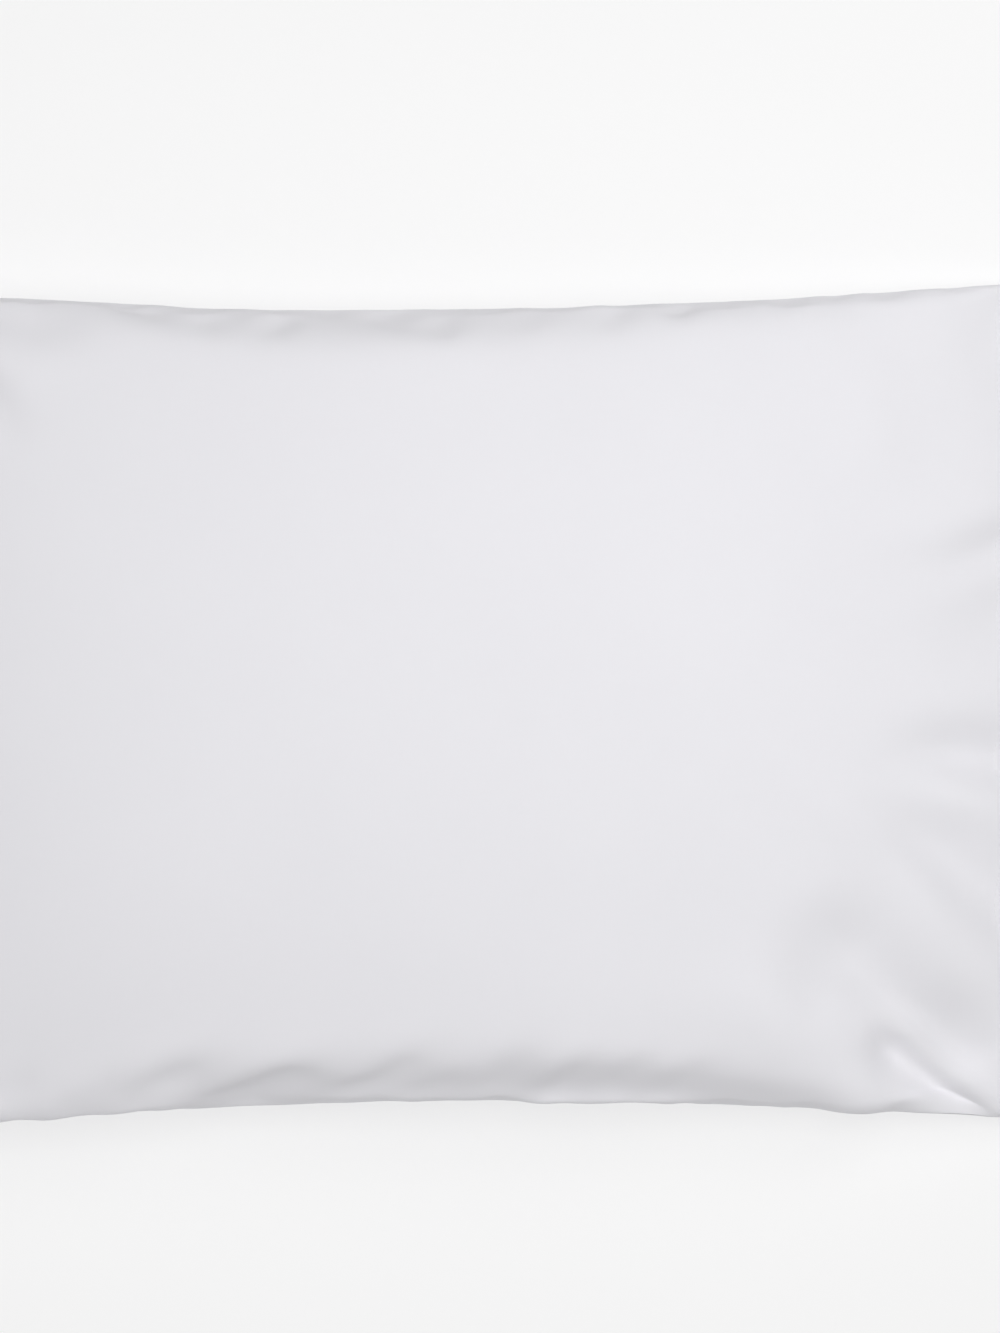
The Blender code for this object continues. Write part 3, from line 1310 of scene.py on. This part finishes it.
@dataclass(frozen=True)
class HemStitching:
    """The row of lockstitches that holds the hem down.

    Each section of a stitch gives its share of the length, its thickness as a share
    of the radius, and its lift in radii: a stitch dips in at both ends.
    """

    pitch: float = 0.0032
    length: float = 0.0025
    radius: float = 0.00019
    sides: int = 6
    end_margin: float = 0.004
    sink: float = 0.00004
    look_ahead: float = 0.001
    edge_tolerance: float = 0.001
    least_step: float = 1e-6
    sections: tuple[Triple, ...] = (
        (0.0, 0.25, -1.0),
        (0.12, 0.8, -0.1),
        (0.5, 1.0, 0.55),
        (0.88, 0.8, -0.1),
        (1.0, 0.25, -1.0),
    )
    uv_name: str = "cloth"
    name: str = "hem_stitching"

    def crossings(self, case: Object) -> list[Vector]:
        """Finds where the upper face's edges cross the hem's line on the cut.

        Args:
            case: The case.

        Returns:
            The crossing points in order of Y.
        """
        mesh = case.data
        places = mesh.uv_layers[self.uv_name].data
        wanted = CUT_LENGTH - HEM_WIDTH
        found = []
        for polygon in mesh.polygons:
            loops = list(polygon.loop_indices)
            for one, other in zip(loops, loops[1:] + loops[:1]):
                here, there = places[one].uv, places[other].uv
                if max(here.y, there.y) > CUT_WIDTH + self.edge_tolerance:
                    continue
                if (here.x - wanted) * (there.x - wanted) < 0:
                    share = (wanted - here.x) / (there.x - here.x)
                    start = mesh.vertices[mesh.loops[one].vertex_index].co
                    end = mesh.vertices[mesh.loops[other].vertex_index].co
                    found.append(start.lerp(end, share))
        return sorted(found, key=lambda point: point.y)

    def line(self, case: Object) -> StitchLine:
        """Lays the stitches' line on the upper face.

        Args:
            case: The case.

        Returns:
            The line, from the -Y side to the +Y side.
        """
        tree = BVHTree.FromObject(case, bpy.context.evaluated_depsgraph_get())
        hits = [tree.find_nearest(point)[:2] for point in self.crossings(case)]
        places = np.array([place[:] for place, _ in hits])
        normals = np.array([(normal if normal.z > 0 else -normal)[:] for _, normal in hits])
        keep = np.append(True, np.linalg.norm(np.diff(places, axis=0), axis=-1) > self.least_step)
        return StitchLine(places[keep], normals[keep], distances(places[keep]))

    def build(self, case: Object) -> Object:
        """Builds the row of stitches on the case.

        Args:
            case: The case.

        Returns:
            The stitches as one object.
        """
        line = self.line(case)
        shape = bmesh.new()
        shape.loops.layers.uv.new(self.uv_name)
        count = int((line.run[-1] - 2 * self.end_margin) / self.pitch)
        for number in range(count):
            self.add_stitch(shape, line, self.end_margin + number * self.pitch)
        return add_shape(self.name, shape)

    def add_stitch(self, shape: BMesh, line: StitchLine, start: float) -> None:
        """Adds one stitch: a short rounded length of thread.

        Args:
            shape: The mesh in the making.
            line: The line that it lies on.
            start: Where it begins along the line.
        """
        rings = np.array([self.ring(line, start, section) for section in self.sections])
        u = start + np.linspace(0.0, self.length, len(rings))
        v = self.radius * np.arange(self.sides + 1)
        first = len(shape.verts)
        add_grid(shape, rings, np.stack(np.meshgrid(u, v, indexing="ij"), -1), True, wrapped=True)
        shape.verts.ensure_lookup_table()
        shape.faces.new(shape.verts[first : first + self.sides][::-1])
        shape.faces.new(shape.verts[-self.sides :])

    def ring(self, line: StitchLine, start: float, section: Triple) -> list[Vector]:
        """Places one ring of a stitch.

        Args:
            line: The line that the stitch lies on.
            start: Where the stitch begins along the line.
            section: The ring's section.

        Returns:
            The ring's points.
        """
        share, thick, lift = section
        at = start + share * self.length
        point = Vector(read_line(at, line.run, line.places))
        normal = Vector(read_line(at, line.run, line.normals)).normalized()
        ahead = Vector(read_line(at + self.look_ahead, line.run, line.places)) - point
        side = normal.cross(ahead.normalized()).normalized()
        middle = point + normal * (self.radius * lift - self.sink)
        turns = [2 * math.pi * k / self.sides for k in range(self.sides)]
        ways = [side * math.cos(turn) + normal * math.sin(turn) for turn in turns]
        return [middle + way * self.radius * thick for way in ways]

    def dress(self, stitches: Object, material: Material) -> None:
        stitches.data.materials.append(material)
        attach(stitches, BODY)


# ---- Studio ----


@dataclass(frozen=True)
class SoftLight:
    """A large square lamp that shines at a place on the floor."""

    name: str
    place: Triple
    size: float
    power: float
    aim: Triple = (0.05, 0.0, 0.0)

    def build(self) -> None:
        """Adds the lamp."""
        data = bpy.data.lights.new(self.name, "AREA")
        set_all(data, shape="SQUARE", size=self.size, energy=self.power)
        way = Vector(self.aim) - Vector(self.place)
        turn = way.to_track_quat("-Z", "Y").to_euler()
        set_all(add_object(self.name, data), location=self.place, rotation_euler=turn)


@dataclass(frozen=True)
class Studio:
    """The pale floor, the soft light and the camera straight above."""

    floor_size: float = 14.0
    ambient: float = 0.19
    ambient_colour: Triple = (1.0, 1.0, 1.0)
    lamps: tuple[SoftLight, ...] = (
        SoftLight("overhead_lamp", (0.1, 0.2, 4.2), 2.4, 90.0),
        SoftLight("near_lamp", (0.75, 0.75, 1.5), 0.9, 8.0),
        SoftLight("low_lamp", (0.1, -2.4, 2.6), 1.4, 8.5),
    )
    camera_over: Pair = (0.0377, 0.0224)
    camera_height: float = 3.0
    camera_turn: float = -0.42
    seam_plane: float = 0.05
    view_width: float = 0.58
    sensor: float = 36.0

    def build(self, effects: SharedEffects, floor: FloorFinish) -> None:
        """Builds the studio.

        Args:
            effects: The shared node groups.
            floor: The floor's finish.
        """
        self.build_floor(floor.make(effects))
        for lamp in self.lamps:
            lamp.build()
        self.build_world()
        self.build_camera()
        bpy.context.scene.view_settings.view_transform = "Standard"

    def build_floor(self, material: Material) -> None:
        """Adds the floor."""
        shape = bmesh.new()
        bmesh.ops.create_grid(shape, x_segments=8, y_segments=8, size=self.floor_size / 2)
        floor = add_shape("floor", shape)
        floor.data.materials.append(material)

    def build_world(self) -> None:
        """Gives the room its even light."""
        world = bpy.data.worlds.new("even_light")
        world.use_nodes = True
        background = world.node_tree.nodes["Background"]
        background.inputs["Color"].default_value = (*self.ambient_colour, 1.0)
        background.inputs["Strength"].default_value = self.ambient
        bpy.context.scene.world = world

    def build_camera(self) -> None:
        """Hangs the camera over the case, looking straight down."""
        lens = self.sensor * (self.camera_height - self.seam_plane) / self.view_width
        data = bpy.data.cameras.new("camera")
        set_all(data, type="PERSP", sensor_fit="HORIZONTAL", sensor_width=self.sensor, lens=lens)
        camera = add_object("camera", data)
        camera.location = (*self.camera_over, self.camera_height)
        camera.rotation_euler = (0.0, 0.0, math.radians(self.camera_turn))
        bpy.context.scene.camera = camera


# ---- Everything together ----


def main() -> None:
    """Builds the case, its stitching and the studio."""
    logging.basicConfig(level=logging.INFO, format="%(name)s: %(message)s")
    effects = SharedEffects.make()
    pillow_case = PillowCase(CaseForm.of_node(NODE))
    case = pillow_case.build()
    pillow_case.dress(case, CASE_COTTON.make(effects, pillow_case.uv_name))
    LOG.info("%s: %d faces", case.name, len(case.data.polygons))
    stitching = HemStitching()
    stitches = stitching.build(case)
    stitching.dress(stitches, HEM_THREAD.make(effects, stitching.uv_name))
    LOG.info("%s: %d faces", stitches.name, len(stitches.data.polygons))
    Studio().build(effects, FloorFinish())
    LOG.info("studio built")


if __name__ == "__main__":
    main()
